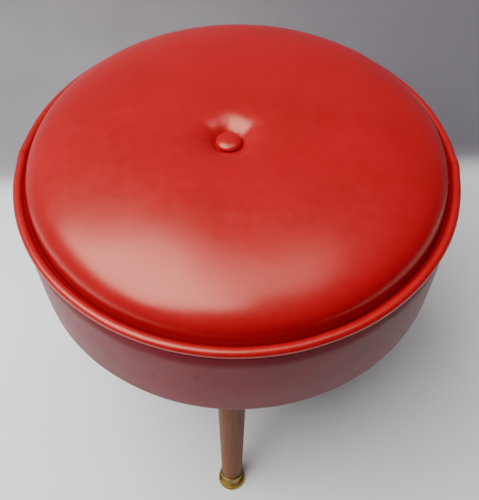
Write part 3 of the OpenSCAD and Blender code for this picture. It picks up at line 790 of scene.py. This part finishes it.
def makeFilling():
    profile = ([(filling["hole"], filling["foot"]), (60, filling["foot"]), (120, filling["foot"])]
               + arcPoints((filling["radius"] - 2, filling["foot"] + 2), 2, -90, 0, 3)
               + [(filling["radius"], z) for z in (280, 297, 314)]
               + arcPoints((filling["radius"] - filling["round"], filling["top"] - filling["round"]),
                           filling["round"], 0, 90, 5)
               + [(r, filling["top"]) for r in (165, 140, 115, 90, 65, 40, 20, filling["hole"])])
    rows = []
    for r, z in profile:
        share = 1 - r / filling["radius"]
        row = []
        for k in range(120):
            t = 2 * math.pi * k / 120
            x, y = r * math.cos(t), r * math.sin(t)
            lump = filling["lumps"] * (0.5 + 0.5 * wobble(x, y, z, 26))
            push = lump if z > filling["top"] - 1 else 0
            pull = lump if r > filling["radius"] - 1 else 0
            row.append((seat["tuft"][0] * share + (r - pull) * math.cos(t),
                        seat["tuft"][1] * share + (r - pull) * math.sin(t), z - push))
        rows.append(row)
    bm = bmesh.new()
    skinRows(bm, rows)
    return bakePiece("drumStuffing", bm, finishes["flock"])


# Dust cover: thin cloth tacked under the board, held flat by the leg plates

cloth = {"radius": 174.0, "thick": 0.5, "top": 251.24, "step": 166.8, "overHem": 168.7, "low": 250.14,
         "sag": 1.6, "plate": 25.0, "screwReach": 18.0, "screwHole": 2.4, "boltHole": 4.7}


def onPlate(x, y):
    found = []
    for turn in legs["turns"].values():
        a = math.radians(turn)
        cx, cy = legs["topRadius"] * math.sin(a), -legs["topRadius"] * math.cos(a)
        dx, dy = x - cx, y - cy
        found.append((dx * math.cos(a) + dy * math.sin(a), -dx * math.sin(a) + dy * math.cos(a)))
    return min(found, key=lambda p: max(abs(p[0]), abs(p[1])))


def makeDustCloth():
    radii = [2.0 * i for i in range(1, 84)] + [cloth["overHem"], 170.5, 172.2, cloth["radius"]]
    bm = bmesh.new()
    rows = []
    for r in radii:
        row = []
        for k in range(240):
            t = 2 * math.pi * k / 240
            x, y = r * math.cos(t), r * math.sin(t)
            u, v = onPlate(x, y)
            clear = within((max(abs(u), abs(v)) - cloth["plate"]) / 22)
            rim = within((cloth["step"] - r) / 40)
            drop = cloth["sag"] * clear * clear * (3 - 2 * clear) * rim * (1 + 0.35 * wobble(x, y, 3, 30))
            z = cloth["top"] - drop if r <= cloth["step"] else cloth["low"]
            row.append((x, y, z - cloth["thick"] / 2))
        rows.append(row)
    grid = skinRows(bm, rows, looped=False)
    bm.faces.new(grid[0])
    holes = []
    for face in bm.faces:
        middle = face.calc_center_median() / mm
        u, v = onPlate(middle.x, middle.y)
        fromScrew = math.hypot(abs(u) - cloth["screwReach"], abs(v) - cloth["screwReach"])
        screw, bolt = fromScrew < cloth["screwHole"] + 1.2, math.hypot(u, v) < cloth["boltHole"] + 1.5
        if screw or bolt:
            holes.append(face)
    bmesh.ops.delete(bm, geom=holes, context="FACES")
    piece = bakePiece("dustCloth", bm, finishes["lining"])
    thick = piece.modifiers.new("thick", "SOLIDIFY")
    thick.thickness = cloth["thick"] * mm
    thick.offset = 0
    return piece


def makeStage():
    slant = math.radians(room["slant"])
    angles = [math.radians(90 * i / room["foldSteps"]) for i in range(room["foldSteps"] + 1)]
    bend = [(room["foldAt"] + room["foldRadius"] * math.sin(a), room["foldRadius"] * (1 - math.cos(a)))
            for a in angles]
    profile = [(room["front"], 0)] + bend + [(bend[-1][0], room["height"])]
    bm = bmesh.new()
    rows = []
    for x in np.linspace(-room["width"] / 2, room["width"] / 2, 9):
        rows.append([((x * math.cos(slant) - y * math.sin(slant)) / mm,
                      (x * math.sin(slant) + y * math.cos(slant)) / mm, z / mm) for y, z in profile])
    skinRows(bm, rows, ringed=False, looped=False)
    piece = bakePiece("floorSheet", bm, floorFinish(), 60, sheet=True)


# Pale floor cloth; it is clear from behind, so that the back and underside can be looked at
def floorFinish():
    material = bpy.data.materials.new("floorCloth")
    material.use_nodes = True
    tree = material.node_tree
    principled = tree.nodes["Principled BSDF"]
    vector = put(tree, "ShaderNodeTexCoord").outputs["Object"]
    parts = put(tree, "ShaderNodeSeparateXYZ", None, [vector]).outputs
    side, height = parts[0], parts[2]
    patch = spread(tree, cloud(tree, vector, 5.0, 3.0), 0.3, 0.7)
    floor = blendColour(tree, patch, *room["floor"])
    # painted light: the floor is painted lighter towards the left, where the key lamp shines
    floor = blendColour(tree, spread(tree, side, -0.35, 0.05), room["floorLitLeft"], floor)
    wall = blendColour(tree, patch, *room["wall"])
    # painted shade: the backdrop is painted darker towards the right, away from the key lamp
    wall = blendColour(tree, spread(tree, side, -0.3, 0.4), wall, room["wallShadedRight"])
    # painted shade: the backdrop is painted darker towards its top, where less light reaches
    wall = blendColour(tree, spread(tree, height, 0.25, 0.7), wall, room["wallShadedTop"])
    both = blendColour(tree, spread(tree, height, 0.0, 0.03), floor, wall)
    tree.links.new(both, principled.inputs["Base Color"])
    principled.inputs["Roughness"].default_value = 0.9
    principled.inputs["Specular IOR Level"].default_value = 0.2
    clear = put(tree, "ShaderNodeBsdfTransparent")
    behind = put(tree, "ShaderNodeNewGeometry").outputs["Backfacing"]
    mixer = put(tree, "ShaderNodeMixShader", None, [behind, principled.outputs[0], clear.outputs[0]])
    tree.links.new(mixer.outputs[0], tree.nodes["Material Output"].inputs["Surface"])
    return material


# Put it together

makeCamera()
makeStage()
lightRoom()
print("camera, floor and lamps ready")

for name, finish in cadFinishes.items():
    dressNode(name, finishes[finish])
for name, turn in legs["turns"].items():
    dressNode("leg_" + name, legFinish(name, turn))
print("frame nodes finished")

coverTop = makeCover()
foamPad = makePad()
buttonTop = makeButton()
pipingFront, pipingRear = makePiping("pipingFront", math.pi), makePiping("pipingRear", 0)
pipingCord = makePipingCord()
bandFront, bandRear = makeBand("bandFront", math.pi), makeBand("bandRear", 0)
sidePad = makeSidePad()
drumStuffing = makeFilling()
dustCloth = makeDustCloth()
print("soft pieces made")

for piece, node, finish in [
        (coverTop, "top_cover", "vinyl"), (foamPad, "cushion_pad", "foam"),
        (buttonTop, "tuft_button", "vinyl"),
        (pipingFront, "welt_front", "welt_vinyl"), (pipingRear, "welt_rear", "welt_vinyl"),
        (pipingCord, "welt_cord", "twine"), (bandFront, "side_band_front", "side_vinyl"),
        (bandRear, "side_band_rear", "side_vinyl"), (sidePad, "side_padding", "foam"),
        (drumStuffing, "drum_filling", "flock"), (dustCloth, "dust_cover", "lining")]:
    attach(piece, "root")
    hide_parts(node)
